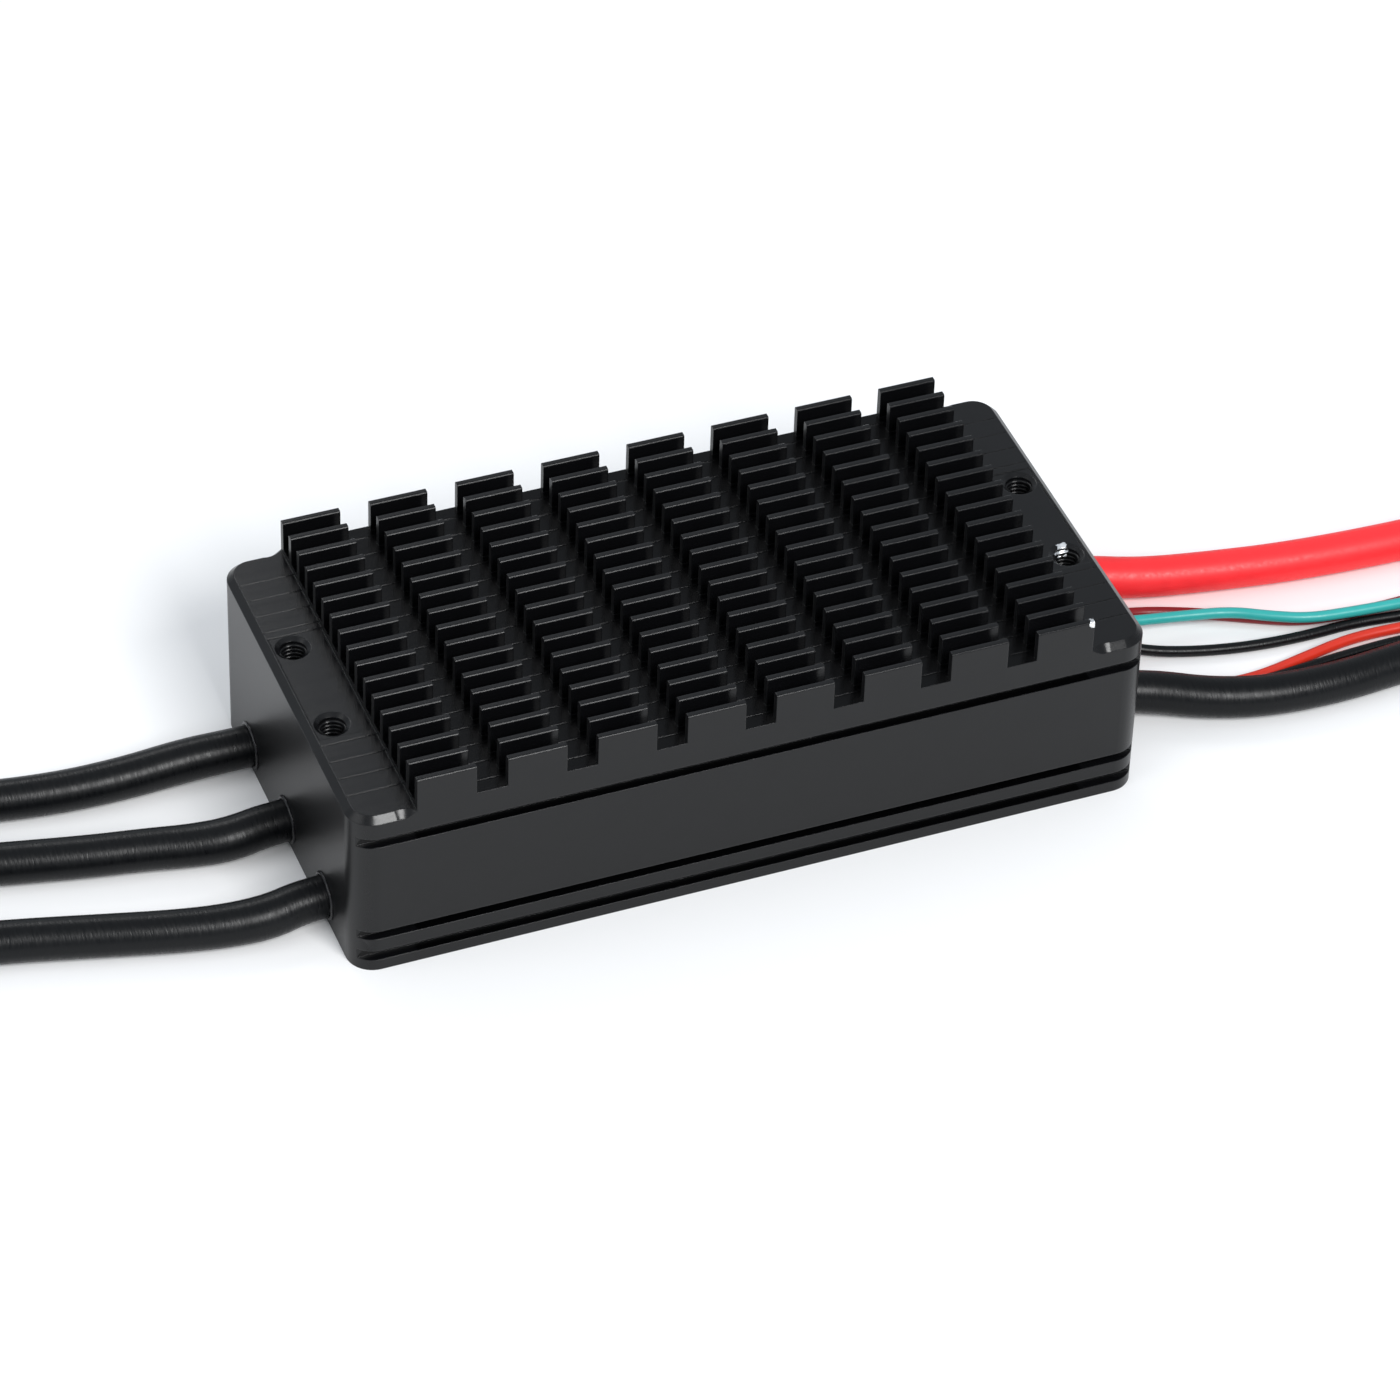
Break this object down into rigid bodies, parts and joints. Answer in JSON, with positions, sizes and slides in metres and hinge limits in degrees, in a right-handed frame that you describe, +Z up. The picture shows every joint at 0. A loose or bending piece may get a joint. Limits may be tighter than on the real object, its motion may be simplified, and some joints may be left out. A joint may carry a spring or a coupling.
{
  "type": "electronic speed controller",
  "caption": "Brushless motor speed controller: finned black aluminium case with tapped mounting holes, thick silicone power leads and thin signal wires.",
  "frame": {"origin": "middle of the case's footprint on the surface it stands on", "axes": "+X along the length towards the battery leads, +Y to the back, +Z up through the fins"},
  "size_m": [0.4164, 0.0606, 0.0344],
  "materials": {
    "anodised_case": "satin black anodised",
    "anodised_cover": "satin black anodised",
    "black_silicone": "satin silicone insulation",
    "red_silicone": "satin silicone insulation",
    "teal_silicone": "satin silicone insulation",
    "dark_red_silicone": "satin silicone insulation",
    "orange_red_silicone": "satin silicone insulation",
    "seal_silicone": "moulded silicone",
    "gasket_foam": "closed cell foam",
    "gap_pad": "soft filled silicone",
    "black_steel": "black oxide",
    "zinc_steel": "zinc plated",
    "tinned_copper": "solder tinned",
    "copper": "bare copper",
    "board_laminate": "solder mask over glass laminate",
    "chip_plastic": "moulded epoxy",
    "capacitor_can": "sleeved can",
    "ceramic": "fired ceramic",
    "plug_nylon": "moulded nylon",
    "contact_metal": "gold flashed",
    "spacer_nylon": "natural nylon",
    "socket_nylon": "moulded nylon"
  },
  "bodies": {
    "root": {"housing": "anodised_case", "bottom_cover": "anodised_cover", "cover_gasket": "gasket_foam", "cover_screws": "black_steel", "phase_lead_back": "black_silicone", "phase_lead_middle": "black_silicone", "phase_lead_front": "black_silicone", "phase_lead_tips": "tinned_copper", "battery_lead_positive": "red_silicone", "battery_lead_negative": "black_silicone", "battery_lead_tips": "tinned_copper", "phase_lead_seals": "seal_silicone", "battery_lead_seals": "seal_silicone", "throttle_grommet": "seal_silicone", "auxiliary_grommet": "seal_silicone", "throttle_signal_wire": "teal_silicone", "throttle_supply_wire": "dark_red_silicone", "throttle_ground_wire": "black_silicone", "auxiliary_supply_wire": "orange_red_silicone", "auxiliary_ground_wire": "black_silicone", "throttle_plug": "plug_nylon", "throttle_contacts": "contact_metal", "auxiliary_plug": "plug_nylon", "auxiliary_contacts": "contact_metal", "phase_lead_cores": "tinned_copper", "battery_lead_cores": "tinned_copper", "signal_wire_tails": "black_silicone", "phase_posts": "copper", "battery_posts": "copper", "power_board": "board_laminate", "board_screws": "zinc_steel", "mosfets": "chip_plastic", "thermal_pad": "gap_pad", "bulk_capacitors": "capacitor_can", "gate_drivers": "chip_plastic", "current_shunts": "ceramic", "ceramic_capacitors": "ceramic", "control_board": "board_laminate", "board_spacers": "spacer_nylon", "board_header": "plug_nylon", "microcontroller": "chip_plastic", "crystal": "zinc_steel", "voltage_regulator": "chip_plastic", "inductor": "chip_plastic", "signal_socket": "socket_nylon"}
  },
  "joints": []
}
